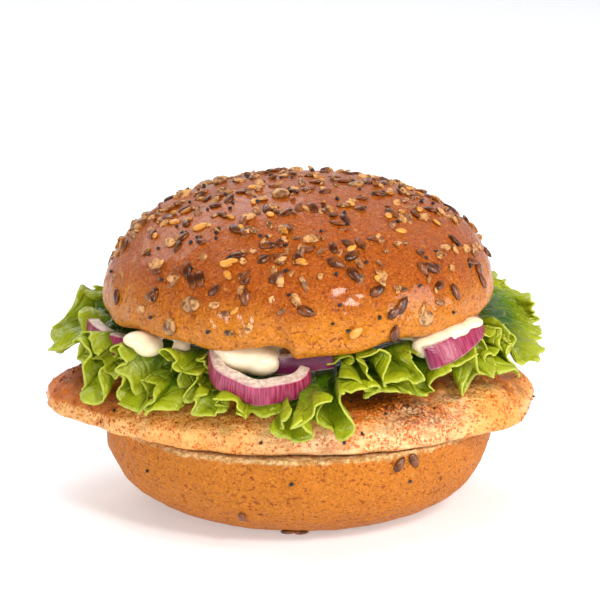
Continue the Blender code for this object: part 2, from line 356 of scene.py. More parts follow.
crown = turned_dough("bun_crown_crust", crown_profile(), crown_point, CROWN_CRUST)
baked = []
crumb = []
for vertex in crown.data.vertices:
    height = vertex.co.z / MM
    out = math.hypot(vertex.co.x - AXIS_X, vertex.co.y - AXIS_Y) / MM
    baked.append(smooth((height - 60) / 20) * 0.95 + 0.12 * uneven(vertex.co, 16, 4))
    crumb.append(1.0 if height < CROWN_RIM_Z + 1.2 and out < CROWN_RIM_RADIUS - 1 else 0.0)
    vertex.co = place(0, 0, CROWN_WIDEST_Z) + CROWN_TILT @ (vertex.co - place(0, 0, CROWN_WIDEST_Z))
paint(crown, "baked", baked)
paint(crown, "crumb", crumb)
settle(crown, "bun", "bun_crown")

# %% [markdown]
# ### The heel
# The lower half of the bun bakes on a flat tray, so its foot is flat and its side leans out to the
# cut. Dough, tray and knife make it round, so one outline turned about the axis does it, as for the
# crown. A few creases and a torn, pale edge at the cut keep it from looking machined.

# %% The heel
HEEL_HEIGHT = (HEEL_HIGH.z - HEEL_LOW.z) / MM
HEEL_RADIUS = (HEEL_HIGH.x - HEEL_LOW.x) / 2 / MM
HEEL_BASE_RADIUS = 30
HEEL_ROUNDNESS = 2.9


def heel_profile():
    outline = [(0, 0), (HEEL_BASE_RADIUS, 0)]
    for i in range(1, 61):
        share = (i / 60) ** 1.5
        fullness = (1 - (1 - share) ** HEEL_ROUNDNESS) ** (1 / 1.6)
        out = HEEL_BASE_RADIUS + (HEEL_RADIUS - HEEL_BASE_RADIUS) * fullness
        outline.append((out, HEEL_HEIGHT * share))
    outline.append((HEEL_RADIUS - 0.6, HEEL_HEIGHT))
    outline.append((0, HEEL_HEIGHT))
    return evenly(outline, 1.1)


def heel_point(angle, radius, height):
    point = place(radius * math.cos(angle), radius * math.sin(angle), height)
    out = Vector((math.cos(angle), math.sin(angle), 0))
    side = smooth((radius - HEEL_BASE_RADIUS) / 6) * (1 - smooth((height - HEEL_HEIGHT + 0.3) / 0.3))
    fold = -abs(noise.noise(Vector((angle * 5, height / 9, 2))))
    moved = 0.8 * uneven(point, 26, 5) + 0.4 * uneven(point, 9, 6) + 0.22 * uneven(point, 3.0,
        7) + 0.7 * fold + 0.9
    crease = math.sin(height / 1.4 + 5 * uneven(point, 7, 10)) * smooth((14 - height) / 8)
    moved += 0.35 * crease * (bump(angle, 283, 9) + bump(angle, 100, 12) + bump(angle, 190, 8))
    return point + out * moved * side * MM


heel = turned_dough("bun_heel_crust", heel_profile(), heel_point, HEEL_CRUST)
paint(heel, "baked",
    [0.30 + 0.25 * uneven(v.co, 18, 8) - 0.2 * smooth(v.co.z / MM / 10) for v in heel.data.vertices])
ragged = [v.co.z / MM - HEEL_HEIGHT + 1.3 + 0.9 * uneven(v.co, 3, 9) for v in heel.data.vertices]
paint(heel, "crumb", [smooth(height / 0.5) for height in ragged])
settle(heel, "bun", "bun_heel")

# %% [markdown]
# ## Seeds and grains
# The crown is rolled in seeds before baking: brown and golden linseeds, poppy seeds, cut grain
# and a few whole kernels. Each kind could be laid by hand, but hundreds of small things that
# follow a surface are what Geometry Nodes do best: points are scattered on the crust with a least
# distance between them, each gets a seed turned to lie on the crust, and the result is made real.

# %% Seed shapes
def lengthwise(name, length, width, thickness, blunt, groove=0.0, rings=7, around=8, lift=0.30):
    """A seed along X: blunt moves its widest place, and groove cuts a crease along its top."""
    points = [Vector((-length / 2, 0, lift * thickness))]
    for ring in range(1, rings):
        share = ring / rings
        full = math.sin(math.pi * share**blunt) ** 0.62
        for step in range(around):
            angle = 2 * math.pi * step / around
            dent = groove * max(0.0, math.sin(angle)) ** 6
            y = width / 2 * full * math.cos(angle)
            z = thickness / 2 * full * (math.sin(angle) - dent) + lift * thickness
            points.append(Vector((length * (share - 0.5), y, z)))
    points.append(Vector((length / 2, 0, lift * thickness)))
    faces = [tuple(1 + corner for corner in face) for face in grid_faces(rings - 1, around, True)]
    last = len(points) - 1
    for step in range(around):
        after = (step + 1) % around
        faces.append((0, 1 + after, 1 + step))
        faces.append((last, last - around + step, last - around + after))
    return seed_mesh(name, points, faces)


def chipped(name, length, width, thickness, draw, cuts=2):
    """A broken piece of grain: a lump with its corners moved at random and its edges kept sharp."""
    shape = bmesh.new()
    bmesh.ops.create_icosphere(shape, subdivisions=cuts, radius=0.5)
    for vertex in shape.verts:
        vertex.co *= 1 + 0.55 * noise.noise(vertex.co * 2.3 + Vector((draw, draw * 3, 1)))
        vertex.co = Vector((vertex.co.x * length, vertex.co.y * width, (vertex.co.z + 0.3) * thickness))
    points = [vertex.co.copy() for vertex in shape.verts]
    faces = [tuple(vertex.index for vertex in face.verts) for face in shape.faces]
    shape.free()
    return seed_mesh(name, points, faces, False)


def seed_mesh(name, points, faces, rounded=True):
    mesh = bpy.data.meshes.new(name)
    mesh.from_pydata([tuple(point * MM) for point in points], [], faces)
    if rounded:
        mesh.shade_smooth()
    shape = bpy.data.objects.new(name, mesh)
    turn_outwards(shape)
    return shape


# %% [markdown]
# Seed coats are hard, smooth and slightly oily. A brown linseed is a dark reddish brown with a
# bright glint, a golden one is honey coloured, poppy seeds are blue-black and dull, and cut grain
# is straw coloured with darker bran on one side.

# %% Seed finishes
def seed_finish(name, light, dark, size_mm, roughness, depth_mm=0.12, fleck=None):
    """The hull of a seed: two tones in soft streaks, dry or shiny, with a fine grain."""
    finish, tree = new_finish(name)
    where = add(tree, "ShaderNodeTexCoord").outputs["Object"]
    grain = add(tree, NOISE, graining(where, size_mm, 2))
    share = add(tree, RANGE, {0: grain, 1: 0.36, 2: 0.64}, **EASED)
    colour = add(tree, MIX, {0: share, 6: linear(light), 7: linear(dark)}, data_type="RGBA")
    if fleck:
        grain = add(tree, NOISE, graining(where, 1.1, 2))
        share = add(tree, RANGE, {0: grain, 1: 0.55, 2: 0.62}, **EASED)
        colour = add(tree, MIX, {0: share, 6: colour, 7: linear(fleck)}, data_type="RGBA")
    grain = add(tree, NOISE, graining(where, 0.45, 2))
    coated(tree, colour, roughness, grain, depth_mm, Subsurface_Weight=0.0)
    return finish


LINSEED_COAT = seed_finish("brown linseed hull", "7e431c", "421e0a", 3.5, 0.2)
GOLDEN_COAT = seed_finish("golden linseed hull", "d8943c", "ac6a1e", 4.0, 0.24)
POPPY_COAT = seed_finish("poppy seed hull", "2e2e33", "17171a", 2.0, 0.55)
GRAIN_COAT = seed_finish("cut toasted grain", "d09a5e", "a06a34", 2.6, 0.5, 0.2, "7a4218")
DARK_GRAIN_COAT = seed_finish("dark toasted grain", "94603a", "4e2c14", 2.2, 0.45, 0.2, "c08a50")
KERNEL_COAT = seed_finish("whole toasted kernel", "c09058", "6a3c1c", 1.7, 0.3, 0.25)


# %% [markdown]
# ### A tree for scattering
# The crust carries hundreds of seeds and no two lie alike. Laying each by hand is slow, and plain
# random points land on top of one another. A node tree that keeps a least distance between the
# points does it once, and every kind of seed uses the same tree with its own numbers.

# %% Scattering tree
def sowing_tree(name, kinds, finish):
    """A tree that sows the shapes of a collection on a surface and makes them real."""
    tree = bpy.data.node_groups.new(name, "GeometryNodeTree")
    tree.interface.new_socket("Ground", in_out="INPUT", socket_type="NodeSocketGeometry")
    for label in ("Spacing", "Most per area", "Smallest", "Largest", "Lean"):
        tree.interface.new_socket(label, in_out="INPUT", socket_type="NodeSocketFloat")
    tree.interface.new_socket("Draw", in_out="INPUT", socket_type="NodeSocketInt")
    tree.interface.new_socket("Seeds", in_out="OUTPUT", socket_type="NodeSocketGeometry")
    given = add(tree, "NodeGroupInput").outputs
    cover = add(tree, "GeometryNodeInputNamedAttribute", {"Name": "seed_cover"}, data_type="FLOAT")
    sockets = {"Mesh": given["Ground"], "Distance Min": given["Spacing"],
        "Density Max": given["Most per area"]}
    sockets |= {"Density Factor": cover.outputs["Attribute"], "Seed": given["Draw"]}
    spots = add(tree, "GeometryNodeDistributePointsOnFaces", sockets, distribute_method="POISSON")
    part = add(tree, MATH, {0: given["Lean"], 1: -1.0}, operation="MULTIPLY")
    other_part = add(tree, MATH, {0: given["Lean"], 1: -1.0}, operation="MULTIPLY")
    least = add(tree, "ShaderNodeCombineXYZ", {0: part, 1: other_part, 2: 0.0})
    most = add(tree, "ShaderNodeCombineXYZ", {0: given["Lean"], 1: given["Lean"], 2: 2 * math.pi})
    sockets = {0: least.outputs[0], 1: most.outputs[0], "Seed": given["Draw"]}
    turned = add(tree, "FunctionNodeRandomValue", sockets, data_type="FLOAT_VECTOR")
    as_turn = add(tree, "FunctionNodeEulerToRotation", {0: turned.outputs[0]})
    sockets = {0: spots.outputs["Rotation"], 1: as_turn.outputs[0]}
    lying = add(tree, "FunctionNodeRotateRotation", sockets, rotation_space="LOCAL")
    sockets = {2: given["Smallest"], 3: given["Largest"], "Seed": given["Draw"]}
    size = add(tree, "FunctionNodeRandomValue", sockets, data_type="FLOAT")
    shapes = add(tree, "GeometryNodeCollectionInfo", {0: kinds, 1: True, 2: True})
    sockets = {"Points": spots.outputs["Points"], "Instance": shapes.outputs[0], "Pick Instance": True}
    sockets |= {"Rotation": lying.outputs[0], "Scale": size.outputs[1]}
    laid = add(tree, "GeometryNodeInstanceOnPoints", sockets)
    real = add(tree, "GeometryNodeRealizeInstances", {0: laid.outputs[0]})
    done = add(tree, "GeometryNodeSetMaterial", {"Geometry": real.outputs[0], "Material": finish})
    add(tree, "NodeGroupOutput", {0: done.outputs[0]})
    return tree


def laid_by_hand(crust, shape, spots):
    """Sets copies of one seed on a crust, each at (angle, height, turn in degrees, size)."""
    made = bmesh.new()
    for degrees, height, turn, size in spots:
        angle = math.radians(degrees)
        out = Vector((math.cos(angle), math.sin(angle), 0))
        spot, normal = crust.ray_cast(place(120 * out.x, 120 * out.y, height), -out)[:2]
        side = Vector((-out.y, out.x, 0))
        rise = normal.cross(side).normalized()
        turn = math.radians(turn)
        long_way = side * math.cos(turn) + rise * math.sin(turn)
        axes = (long_way * size, normal.cross(long_way) * size, normal * size)
        seat = Matrix.Translation(spot) @ Matrix(axes).transposed().to_4x4()
        copy = shape.data.copy()
        copy.transform(seat)
        made.from_mesh(copy)
        bpy.data.meshes.remove(copy)
    return made


def sow(name, ground, shapes, finish, by_hand=(), **numbers):
    """Sows shapes on the ground, adds those laid at listed spots, and returns one plain mesh piece."""
    kinds = bpy.data.collections.new(name + "_kinds")
    for shape in shapes:
        kinds.objects.link(shape)
    tree = sowing_tree(name + "_sowing", kinds, finish)
    field = bpy.data.objects.new(name + "_field", ground)
    bpy.context.collection.objects.link(field)
    modifier = field.modifiers.new("sowing", "NODES")
    modifier.node_group = tree
    for item in tree.interface.items_tree:
        label = item.name.replace(" ", "_").lower()
        if item.in_out == "INPUT" and label in numbers:
            modifier[item.identifier] = numbers[label]
    graph = bpy.context.evaluated_depsgraph_get()
    mesh = bpy.data.meshes.new_from_object(field.evaluated_get(graph), depsgraph=graph)
    bpy.data.objects.remove(field)
    for crust, number, spots in by_hand:
        laid = laid_by_hand(crust, shapes[number], spots)
        laid.from_mesh(mesh)
        laid.to_mesh(mesh)
        laid.free()
    for shape in shapes:
        bpy.data.objects.remove(shape)
    bpy.data.collections.remove(kinds)
    mesh.name = name
    mesh.materials.clear()
    mesh.materials.append(finish)
    piece = bpy.data.objects.new(name, mesh)
    bpy.context.collection.objects.link(piece)
    return piece


# %% [markdown]
# The seeds lie thickest on the upper dome, in loose drifts, and thin out towards the rim in
# front. That cover is painted on a copy of the crust, as a number that the tree reads.

# %% Seed cover
def seed_ground(crust, cover_at):
    ground = crust.data.copy()
    layer = ground.attributes.new("seed_cover", "FLOAT", "POINT")
    layer.data.foreach_set("value", [cover_at(vertex) for vertex in ground.vertices])
    return ground


def crown_cover(vertex):
    height = (vertex.co.z / MM - 64) / 30
    if vertex.normal.z < -0.2 or height < 0:
        return 0.0
    drift = 0.62 + 1.0 * uneven(vertex.co, 10, 11)
    return max(0.0, min(1.0, drift * (0.10 + 1.05 * smooth(height * 1.25))))


def surface_of(piece):
    """A search tree of a piece's faces, for finding where a ray meets it."""
    mesh = piece.data
    faces = [tuple(face.vertices) for face in mesh.polygons]
    return BVHTree.FromPolygons([vertex.co.copy() for vertex in mesh.vertices], faces)


crown_ground = seed_ground(crown, crown_cover)
crown_surface = surface_of(crown)
heel_surface = surface_of(heel)

# %% [markdown]
# A few seeds are laid one by one at listed spots: the large kernels, the pale flakes and the linseeds
# that stand alone lower down, where chance would put too many or too few, and the strays on the heel.

# %% Seeds at listed spots
LINSEED_SPOTS = (
    (241, 89.7, -30, 1.1), (242, 91.4, -70, 1.0), (246, 89.2, -50, 1.05), (238, 78.3, -60, 1.15),
    (254, 75.4, -75, 1.2), (263, 80.4, 45, 1.15), (258, 87.1, 10, 1.1), (232, 80.0, -70, 1.1),
    (283, 83.4, -30, 1.2), (289, 84.9, 30, 1.15), (288, 80.5, -60, 1.2), (294, 76.2, 20, 1.15),
    (272, 72.0, -20, 1.15), (301, 71.7, 50, 1.25), (298, 70.1, 30, 1.1), (322, 71.9, -80, 1.15),
    (298, 64.2, 80, 1.2), (228, 78.2, 60, 1.1), (223, 72.0, -80, 1.0), (316, 79.3, -40, 1.15),
    (204, 67.6, -70, 1.1), (340, 75, 30, 1.1), (20, 72, 70, 1.1), (64, 76, 20, 1.1), (108, 70, -30, 1.1),
    (140, 75, 60, 1.1), (172, 71, -60, 1.1),
)
HEEL_LINSEED_SPOTS = (
    (300, 25.2, 50, 1.2), (305, 25.6, -60, 1.2), (252, 9.8, 80, 1.0), (266, 3.0, 0, 1.1),
        (271, 2.8, 20, 1.1),
    (20, 17, 40, 1.1), (92, 23, -20, 1.1), (150, 12, 70, 1.1),
)
GOLDEN_SPOTS = (
    (205, 87.9, 20, 1.1), (223, 88.8, 50, 1.25), (263, 90.3, -50, 1.1), (245, 82.5, 0, 1.0),
    (247, 80.0, -40, 0.9), (286, 65.6, 35, 1.2), (270, 83.9, 10, 1.0), (319, 91.3, 40, 1.0),
        (60, 84, 30, 1.1),
)
FLAKE_SPOTS = (
    (218, 79.1, 30, 1.5), (216, 84.3, 10, 1.3), (297, 79.3, 60, 1.0), (264, 79.4, -70, 1.1),
        (275, 88.4, 20, 1.3),
    (269, 75.0, -50, 1.1), (245, 72.4, 20, 0.9), (218, 66.9, 30, 1.1), (308, 69, 60, 1.0),
        (256, 67, 80, 0.9),
    (90, 70, 20, 1.2), (10, 80, 70, 1.3), (150, 68, 10, 1.1),
)
KERNEL_SPOTS = ((237, 71.6, 5, 1.0), (309, 66.8, 15, 0.95), (50, 70, 60, 1.0))
BARE_KERNEL_SPOTS = ((231, 64.6, 80, 1.0), (250, 95.4, 15, 1.0), (156, 93.4, -10, 1.0),
    (184, 83.6, 70, 1.0), (100, 88, 30, 1.0))
POPPY_SPOTS = (
    (225, 92.8, 0, 1.0), (217, 87.0, 0, 1.0), (219, 87.1, 0, 1.0), (245, 84.0, 0, 1.0), (265, 87.3, 0, 1.0),
    (266, 81.9, 0, 1.1), (244, 65.1, 0, 1.2), (267, 76.2, 0, 1.0), (223, 65.8, 0, 1.1), (284, 66.3, 0, 1.1),
    (282, 73.4, 0, 1.0), (293, 83.2, 0, 1.0), (309, 75.9, 0, 1.0), (193, 72.3, 0, 1.0),
)
HEEL_POPPY_SPOTS = ((268, 21.7, 0, 1.1), (220, 19.2, 0, 1.0), (304, 19.4, 0, 0.9), (40, 20, 0, 1.0),
    (120, 17, 0, 1.0))

# %% [markdown]
# ### Sowing the bun
# The wet dough is rolled in a mix of seeds, so they lie thick on the top and only a few run down
# the side. The large ones in front are laid at listed spots, and the rest are scattered round them.

# %% Seeds on the bun
linseeds = [
    lengthwise("linseed_a", 4.9, 2.6, 1.2, 0.80),
    lengthwise("linseed_b", 4.5, 2.4, 1.3, 0.86),
    lengthwise("linseed_c", 5.1, 2.5, 1.0, 0.78),
]
brown_linseeds = sow("brown_linseeds", crown_ground, linseeds, LINSEED_COAT,
                     ((crown_surface, 0, LINSEED_SPOTS), (heel_surface, 1, HEEL_LINSEED_SPOTS)),
                     spacing=3.4 * MM, most_per_area=19000.0, smallest=0.9, largest=1.15, lean=0.30, draw=3)
golden = [lengthwise("golden_a", 4.3, 2.4, 1.2, 0.82), lengthwise("golden_b", 3.7, 2.0, 1.1, 0.9)]
golden_linseeds = sow("golden_linseeds", crown_ground, golden, GOLDEN_COAT,
    ((crown_surface, 0, GOLDEN_SPOTS),),
                      spacing=6.0 * MM, most_per_area=7000.0, smallest=0.85, largest=1.15, lean=0.25,
                          draw=8)
poppies = [chipped("poppy", 1.2, 1.05, 1.0, 2)]
poppy_seeds = sow("poppy_seeds", crown_ground, poppies, POPPY_COAT,
                  ((crown_surface, 0, POPPY_SPOTS), (heel_surface, 0, HEEL_POPPY_SPOTS)),
                  spacing=1.6 * MM, most_per_area=12000.0, smallest=0.85, largest=1.15, lean=0.6, draw=21)
chips = [chipped("chip_" + str(i), 4.0 - 0.3 * i, 2.0 + 0.25 * (i % 3), 1.2, i * 1.9 + 0.7)
    for i in range(5)]
cut_grain = sow("cut_grain", crown_ground, chips, GRAIN_COAT, ((crown_surface, 1, FLAKE_SPOTS),),
                spacing=2.6 * MM, most_per_area=30000.0, smallest=0.6, largest=1.2, lean=0.7, draw=34)
dark_chips = [chipped("dark_" + str(i), 4.6 - 0.4 * i, 1.7 + 0.2 * i, 1.1, i * 2.3 + 5) for i in range(4)]
dark_grain = sow("dark_grain", crown_ground, dark_chips, DARK_GRAIN_COAT, spacing=3.0 * MM,
                 most_per_area=19000.0, smallest=0.6, largest=1.15, lean=0.6, draw=55)
whole = [
    lengthwise("kernel_a", 6.4, 4.8, 3.0, 0.95, 0.5, 9, 12, 0.1),
    lengthwise("kernel_b", 5.6, 4.2, 3.4, 0.9, 0.3, 9, 12, 0.25),
]
kernels = sow("whole_kernels", crown_ground, whole, KERNEL_COAT,
              ((crown_surface, 0, KERNEL_SPOTS), (crown_surface, 1, BARE_KERNEL_SPOTS)),
              spacing=16.0 * MM, most_per_area=900.0, smallest=0.8, largest=1.0, lean=0.4, draw=5)
for sown in (brown_linseeds, golden_linseeds, poppy_seeds, cut_grain, dark_grain, kernels):
    settle(sown, "seeds")

# %% [markdown]
# ## The grilled fillet
# A chicken breast beaten flat, spiced and grilled. Its top is browned in patches and charred where
# it stood on the hottest part of the pan, its thin rim is golden, and in front it was torn, so
# pale pink fibres show. In under the crown it is painted browner and more charred still, which is
# painted shade. Its outline is a few quarters of ellipses with bays bitten out of them, and
# its thickness swells from a thin rim to a flat middle. The same turned grid that made the bun
# carries both, and then each point moves a little: broad swellings, fine fibres that run from
# side to side, and one torn ridge.

# %% [markdown]
# Grilled chicken is nearly white meat under a thin, dry, golden skin of oil and spice, with tiny
# red grains of paprika. Light enters the meat a little, so the shader has a soft glow below its
# surface. Painted numbers say where it is browned, charred, or torn open, and the browning and
# char also carry painted shade in under the crown.

# %% The fillet's finish
def grilled_chicken():
    """Grilled chicken with spice: golden to brown, orange grains, dark sear, painted shade under the crown.
    """
    finish, tree = new_finish("fried spiced chicken")
    where = add(tree, "ShaderNodeTexCoord").outputs["Object"]
    stretched = add(tree, "ShaderNodeMapping", {"Vector": where, "Scale": (0.7, 1, 1)})
    patch = add(tree, NOISE, graining(stretched, 12, 4, 0.6))
    share = add(tree, RANGE, {0: patch, 1: 0.4, 2: 0.64}, **EASED)
    colour = add(tree, MIX, {0: share, 6: linear("f2bc70"), 7: linear("e69e46")}, data_type="RGBA")
    grain = add(tree, NOISE, graining(where, 5, 5, 0.7))
    part = add(tree, MATH, {0: grain, 1: 0.5}, operation="SUBTRACT")
    cloudy = add(tree, MATH, {0: part, 1: 1.9}, operation="MULTIPLY")
    # The browning number also carries painted shade: the part in under the crown is browned more.
    mask = add(tree, "ShaderNodeAttribute", attribute_name="browned_and_shaded").outputs["Fac"]
    browned_and_shaded = add(tree, MATH, {0: mask, 1: cloudy}, operation="ADD")
    share = add(tree, RANGE, {0: browned_and_shaded, 1: 0.2, 2: 0.62, 4: 0.9}, **EASED)
    colour = add(tree, MIX, {0: share, 6: colour, 7: linear("d06e08")}, data_type="RGBA")
    share = add(tree, RANGE, {0: browned_and_shaded, 1: 0.7, 2: 1.2, 4: 0.85}, **EASED)
    colour = add(tree, MIX, {0: share, 6: colour, 7: linear("983e06")}, data_type="RGBA")
    stretched = add(tree, "ShaderNodeMapping", {"Vector": where, "Scale": (0.22, 1, 1)})
    fibre = add(tree, NOISE, graining(stretched, 1.9, 4, 0.6))
    share = add(tree, RANGE, {0: fibre, 1: 0.4, 2: 0.62}, **EASED)
    flesh = add(tree, MIX, {0: share, 6: linear("efcb9c"), 7: linear("c98f5e")}, data_type="RGBA")
    mask = add(tree, "ShaderNodeAttribute", attribute_name="torn").outputs["Fac"]
    part = add(tree, MATH, {0: mask, 1: 0.9}, operation="MULTIPLY")
    colour = add(tree, MIX, {0: part, 6: colour, 7: flesh}, data_type="RGBA")
    grain = add(tree, NOISE, graining(where, 0.8, 3.0, 0.75))
    spice = add(tree, RANGE, {0: grain, 1: 0.49, 2: 0.56}, **EASED)
    grain = add(tree, NOISE, graining(where, 4.5, 4, 0.7))
    dusting = add(tree, RANGE, {0: grain, 1: 0.42, 2: 0.55, 3: 0.15}, **EASED)
    part = add(tree, MATH, {0: spice, 1: dusting}, operation="MULTIPLY")
    colour = add(tree, MIX, {0: part, 6: colour, 7: linear("c85a06")}, data_type="RGBA")
    grain = add(tree, NOISE, graining(where, 1.2, 1.5, 0.5))
    red = add(tree, RANGE, {0: grain, 1: 0.68, 2: 0.71}, **EASED)
    part = add(tree, MATH, {0: red, 1: 0.8}, operation="MULTIPLY")
    colour = add(tree, MIX, {0: part, 6: colour, 7: linear("a83c08")}, data_type="RGBA")
    grain = add(tree, NOISE, graining(where, 1.1, 4, 0.75))
    scorch = add(tree, RANGE, {0: grain, 1: 0.44, 2: 0.58}, **EASED)
    # The char number also carries painted shade: dark patches in under the crown.
    mask = add(tree, "ShaderNodeAttribute", attribute_name="charred_and_shaded").outputs["Fac"]
    burnt = add(tree, MATH, {0: mask, 1: scorch}, operation="MULTIPLY")
    colour = add(tree, MIX, {0: burnt, 6: colour, 7: linear("5a2406")}, data_type="RGBA")
    grain = add(tree, NOISE, graining(where, 4.0, 3, 0.6))
    lumps = add(tree, MATH, {0: grain, 1: 1.5}, operation="MULTIPLY")
    grain = add(tree, NOISE, graining(where, 1.1, 3, 0.7))
    part = add(tree, MATH, {0: grain, 1: 0.9}, operation="MULTIPLY")
    height = add(tree, MATH, {0: fibre, 1: part}, operation="ADD")
    height = add(tree, MATH, {0: height, 1: lumps}, operation="ADD")
    grain = add(tree, NOISE, graining(where, 3))
    shine = add(tree, RANGE, {0: grain, 1: 0.35, 2: 0.65, 3: 0.3, 4: 0.5}, **EASED)
    coated(tree, colour, shine, height, 0.55, Subsurface_Weight=0.05,
        Subsurface_Radius=(0.003, 0.0014, 0.0007),
           Subsurface_Scale=1.0, Specular_IOR_Level=0.45)
    return finish


FRIED_CHICKEN = grilled_chicken()


# %% [markdown]
# ### The fillet's shape
# A chicken breast is thick and blunt at one end and thin at the other, and its side bulges. It could
# be sculpted, but a reach and a height for every direction say the same in a few lines, and leave
# the torn corner as a dent that can be moved.

# %% The fillet
def nearness(x, y, start, end):
    """Distance in mm from a line on the fillet, seen from above, and how far along it lies."""
    line = (end[0] - start[0], end[1] - start[1])
    along = ((x - start[0]) * line[0] + (y - start[1]) * line[1]) / (line[0] ** 2 + line[1] ** 2)
    along = min(1.0, max(0.0, along))
    return math.hypot(x - start[0] - along * line[0], y - start[1] - along * line[1]), along


FILLET_BASE_Z = FILLET_LOW.z / MM
FILLET_MIDDLE = 15.6
FILLET_RIM = 3.2
FILLET_LEFT, FILLET_RIGHT, FILLET_FRONT, FILLET_BACK = 76.3, 69.0, 54.6, 50.0
FILLET_BAYS = ((200, 10, -4.0), (215, 20, -4.0), (312, 14, -1.8), (337, 10, 1.8), (150, 16, -3.5),
    (62, 20, 2.0))
TEAR_START = (21, -55)
TEAR_END = (44, -35)


def fillet_reach(angle):
    across = FILLET_RIGHT if math.cos(angle) > 0 else FILLET_LEFT
    deep = FILLET_BACK if math.sin(angle) > 0 else FILLET_FRONT
    reach = 1 / math.hypot(math.cos(angle) / across, math.sin(angle) / deep)
    reach += sum(depth * bump(angle, centre, width) for centre, width, depth in FILLET_BAYS)
    return reach + 0.5 * math.sin(7 * angle + 2) + 0.4 * math.sin(13 * angle) + 0.25 * math.sin(29
        * angle + 1)


def fillet_point(angle, share, level):
    """A point at a share of the way to the rim, at level 0 on the underside and 1 on top."""
    power = 2.2 + 1.9 * max(0.0, math.cos(angle)) + 1.8 * max(0.0, -math.sin(angle))
    swell = max(0.0, 1 - share**power) ** 0.5
    thick = FILLET_RIM + (FILLET_MIDDLE - FILLET_RIM) * swell
    reach = fillet_reach(angle) * share
    under = 0.6 * smooth((share - 0.92) / 0.08) * (1 - level)
    return place(reach * math.cos(angle), reach * math.sin(angle), FILLET_BASE_Z + thick * level + under)


def fillet_profile():
    rows = [(i / 60, 0.0) for i in range(59)] + [(0.985, 0.0), (0.996, 0.12)]
    rows += [(1.0, 0.3), (1.0, 0.5), (1.0, 0.7), (0.998, 0.87), (0.992, 0.97)]
    return rows + [(1 - 0.011 * i, 1.0) for i in range(1, 90)] + [(0.0, 1.0)]


def nearly_flat_pole(piece, z_low, z_high):
    """Puts the two poles of a turned grid on its own underside and top."""
    piece.data.vertices[0].co.z = z_low * MM
    piece.data.vertices[len(piece.data.vertices) - 1].co.z = z_high * MM


fillet = turned_dough("chicken_fillet_fried", fillet_profile(), fillet_point, FRIED_CHICKEN, 512)
nearly_flat_pole(fillet, FILLET_BASE_Z, FILLET_BASE_Z + FILLET_MIDDLE)
browned_and_shaded, charred_and_shaded, torn, places = [], [], [], []
for vertex in fillet.data.vertices:
    x, y, z = ((vertex.co - place(0, 0, 0)) / MM)[:]
    top = smooth((vertex.normal.z - 0.1) / 0.5)
    fibres = noise.noise(Vector((x / 16, y / 2.2, z / 1.6)))
    near, along = nearness(x, y, TEAR_START, TEAR_END)
    ridge = math.exp(-((near / 2.2) ** 2)) * smooth(along * 3) * smooth((1 - along) * 3)
    moved = 0.9 * uneven(vertex.co, 13, 21) + 0.55 * uneven(vertex.co, 5, 22) + 0.35 * fibres
    moved += 0.22 * uneven(vertex.co, 1.8, 23) + 1.3 * ridge
    front = smooth((-y - 40) / 8)
    flank = front * bump(math.atan2(y, x), 278, 17) * smooth((38 - z) / 4)
    torn.append(min(1.0, flank + 0.8 * math.exp(-(((near - 2.5) / 2.5) ** 2)) * smooth(along * 3)))
    rim = smooth((math.hypot(x / 72, y / 54) - 0.8) / 0.2)
    # Painted shade: the inner part, in under the crown, gets more browning and char.
    shade = smooth((60 - math.hypot(x, y * 1.15)) / 14)
    browned_and_shaded.append(top * (0.15 + 0.45 * shade + 0.35 * smooth((-x - 44) / 14)) + 0.4 * top
        * smooth((-x - 44) / 14) - 0.05 * rim)
    sear = 1.3 * math.exp(-(((x - 28) / 19) ** 2 + ((y + 42) / 6.5) ** 2))
    sear += 0.7 * math.exp(-(((x - 60) / 8) ** 2 + ((y + 12) / 10) ** 2))
    browned_and_shaded[-1] += 0.6 * top * min(1.0, sear)
    charred_and_shaded.append(min(1.0, 0.8 * top * sear + 0.25 * top * shade * smooth(uneven(vertex.co, 6, 25) * 3)))
    under = smooth((z - FILLET_BASE_Z) / 1.5)
    places.append(vertex.co + vertex.normal * moved * under * MM)
for vertex, spot in zip(fillet.data.vertices, places):
    vertex.co = spot
paint(fillet, "browned_and_shaded", browned_and_shaded)
paint(fillet, "charred_and_shaded", charred_and_shaded)
paint(fillet, "torn", torn)
settle(fillet, "chicken", "chicken_fillet")

# %% [markdown]
# The coating is coarse paprika with a little cracked pepper. Grains that stand up from the meat
# catch the light, so they are real chips, sown by the same tree as the seeds.

# %% Paprika and pepper
PAPRIKA = seed_finish("coarse paprika", "e07c1c", "bc560c", 5.0, 0.5)
PEPPER = seed_finish("cracked black pepper", "3a2418", "150e0a", 2.0, 0.5)


def spice_cover(vertex):
    if vertex.normal.z < -0.3 or vertex.co.z / MM < FILLET_BASE_Z + 1:
        return 0.0
    return max(0.0, min(1.0, 0.55 + 1.6 * uneven(vertex.co, 8, 31)))


spiced = seed_ground(fillet, spice_cover)
grains = [chipped("grain_" + str(i), 1.1 - 0.2 * i, 0.8 - 0.1 * i, 0.45, 3.1 * i + 2, 1) for i in range(3)]
paprika = sow("paprika_grains", spiced, grains, PAPRIKA, spacing=0.9 * MM, most_per_area=260000.0,
              smallest=0.5, largest=1.25, lean=0.4, draw=71)
cracked = [chipped("pepper_" + str(i), 1.3, 0.8, 0.7, 4.7 * i + 1, 1) for i in range(2)]
pepper = sow("pepper_grains", spiced, cracked, PEPPER, spacing=5.0 * MM, most_per_area=7000.0,
             smallest=0.6, largest=1.2, lean=0.4, draw=72)
settle(paprika, "chicken")
settle(pepper, "chicken")

# %% [markdown]
# ## Lettuce
# Frilly lettuce grows faster along its margin than in its middle, so the margin has no room and
# buckles into tall folds, and those into smaller ones. The leaf is a grid: along it runs the
# margin, across it the way from the heart to the tip. Two sets of waves grow towards the tip. A
# sideways sway of twice the rate bends each wave over into a loop, as in the real thing.

